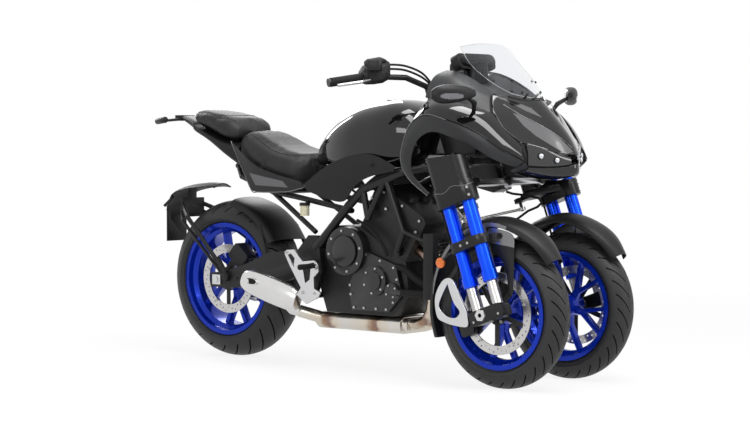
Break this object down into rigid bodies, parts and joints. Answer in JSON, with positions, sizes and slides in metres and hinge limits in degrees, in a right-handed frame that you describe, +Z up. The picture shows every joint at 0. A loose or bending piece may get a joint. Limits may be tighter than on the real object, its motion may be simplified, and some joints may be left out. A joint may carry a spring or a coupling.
{
  "type": "leaning reverse trike",
  "caption": "Leaning three-wheeled motorcycle: paired front wheels on twin-tube forks steered by linked tie rods, one chain-driven rear wheel, faired nose, stepped seat and side stand.",
  "frame": {"origin": "floor under the middle of the bounding box", "axes": "+X forward, +Y to the rider's left, +Z up"},
  "size_m": [2.1499, 0.8932, 1.2521],
  "materials": {
    "frame_black": "satin black paint",
    "cast_dark": "dark cast paint",
    "gloss_black": "gloss black",
    "matte_black": "matte moulded",
    "matte_grey": "matte grey",
    "seat_cover": "grained cover",
    "rubber": "moulded rubber",
    "tyre": "tyre rubber",
    "blue_paint": "blue paint",
    "blue_anodised": "blue anodised",
    "silver": "cast",
    "steel": "brushed",
    "clear": "clear screen",
    "lamp": "clear lamp",
    "red_lamp": "red lamp",
    "reservoir": "translucent cup",
    "exhaust_metal": "heat-tinted"
  },
  "bodies": {
    "chassis": {"main_frame": "frame_black", "steering_head": "frame_black", "rear_subframe": "frame_black", "engine_case": "cast_dark", "engine_head": "cast_dark", "engine_covers": "cast_dark", "radiator": "matte_black", "exhaust": "exhaust_metal", "silencer": "silver", "fuel_tank": "gloss_black", "knee_panels": "matte_black", "rider_seat": "seat_cover", "pillion_seat": "seat_cover", "tail_cowl": "matte_black", "tail_lamp": "red_lamp", "side_panels": "matte_black", "nose_cowl": "gloss_black", "shoulder_panels": "gloss_black", "arch_panels": "matte_grey", "headlamps": "lamp", "windscreen": "clear", "instrument_panel": "matte_black", "cockpit_cowl": "matte_grey", "fairing_stay": "frame_black", "mirrors": "matte_black", "lean_arms": "silver", "lean_uprights": "cast_dark", "swingarm": "cast_dark", "rear_shock": "steel", "rear_hugger": "matte_black", "plate_holder": "matte_black", "drive_chain": "steel", "foot_controls": "silver", "rear_axle": "silver", "brake_reservoir": "reservoir"},
    "handlebar": {"handlebar": "frame_black", "grips": "rubber", "bar_controls": "matte_black"},
    "side_stand": {"side_stand": "frame_black"},
    "wheel_rear": {"rim_rear": "blue_paint", "tyre_rear": "tyre", "disc_rear": "steel", "sprocket_rear": "steel"},
    "fork_left": {"fork_yoke_left": "frame_black", "fork_tubes_left": "blue_anodised", "fork_legs_left": "silver", "fender_left": "matte_black"},
    "wheel_front_left": {"rim_front_left": "blue_paint", "tyre_front_left": "tyre", "disc_front_left": "steel"},
    "tie_rod_left": {"tie_rod_left": "steel"},
    "fork_right": {"fork_yoke_right": "frame_black", "fork_tubes_right": "blue_anodised", "fork_legs_right": "silver", "fender_right": "matte_black"},
    "wheel_front_right": {"rim_front_right": "blue_paint", "tyre_front_right": "tyre", "disc_front_right": "steel"},
    "tie_rod_right": {"tie_rod_right": "steel"}
  },
  "joints": [
    {"name": "steer_right", "type": "hinge", "parent": "chassis", "child": "fork_right", "pos_m": [0.60358, -0.205, 0.74435], "axis": [-0.342, 0, 0.9397], "range_deg": [-27, 27]},
    {"name": "steer_left", "type": "hinge", "parent": "chassis", "child": "fork_left", "pos_m": [0.60358, 0.205, 0.74435], "axis": [-0.342, 0, 0.9397], "range_deg": [-27, 27]},
    {"name": "steer_bar", "type": "hinge", "parent": "chassis", "child": "handlebar", "pos_m": [0.44534, 0, 0.79317], "axis": [-0.342, 0, 0.9397], "range_deg": [-27, 27]},
    {"name": "tie_right", "type": "hinge", "parent": "fork_right", "child": "tie_rod_right", "pos_m": [0.57559, -0.205, 0.64583], "axis": [-0.342, 0, 0.9397], "range_deg": [-27, 27]},
    {"name": "tie_left", "type": "hinge", "parent": "fork_left", "child": "tie_rod_left", "pos_m": [0.5814, 0.205, 0.62986], "axis": [-0.342, 0, 0.9397], "range_deg": [-27, 27]},
    {"name": "roll_front_left", "type": "hinge", "parent": "fork_left", "child": "wheel_front_left", "pos_m": [0.8005, 0.205, 0.2745], "axis": [0, 1, 0], "continuous": true},
    {"name": "roll_front_right", "type": "hinge", "parent": "fork_right", "child": "wheel_front_right", "pos_m": [0.8005, -0.205, 0.2745], "axis": [0, 1, 0], "continuous": true},
    {"name": "roll_rear", "type": "hinge", "parent": "chassis", "child": "wheel_rear", "pos_m": [-0.7095, 0, 0.3205], "axis": [0, 1, 0], "continuous": true},
    {"name": "stand_swing", "type": "hinge", "parent": "chassis", "child": "side_stand", "pos_m": [-0.04, 0.168, 0.246], "axis": [0, -0.9511, -0.309], "range_deg": [0, 105]}
  ],
  "couplings": [
    {"joint": "steer_left", "follows": "steer_right", "ratio": 1},
    {"joint": "steer_bar", "follows": "steer_right", "ratio": 1},
    {"joint": "tie_right", "follows": "steer_right", "ratio": -1},
    {"joint": "tie_left", "follows": "steer_right", "ratio": -1}
  ]
}
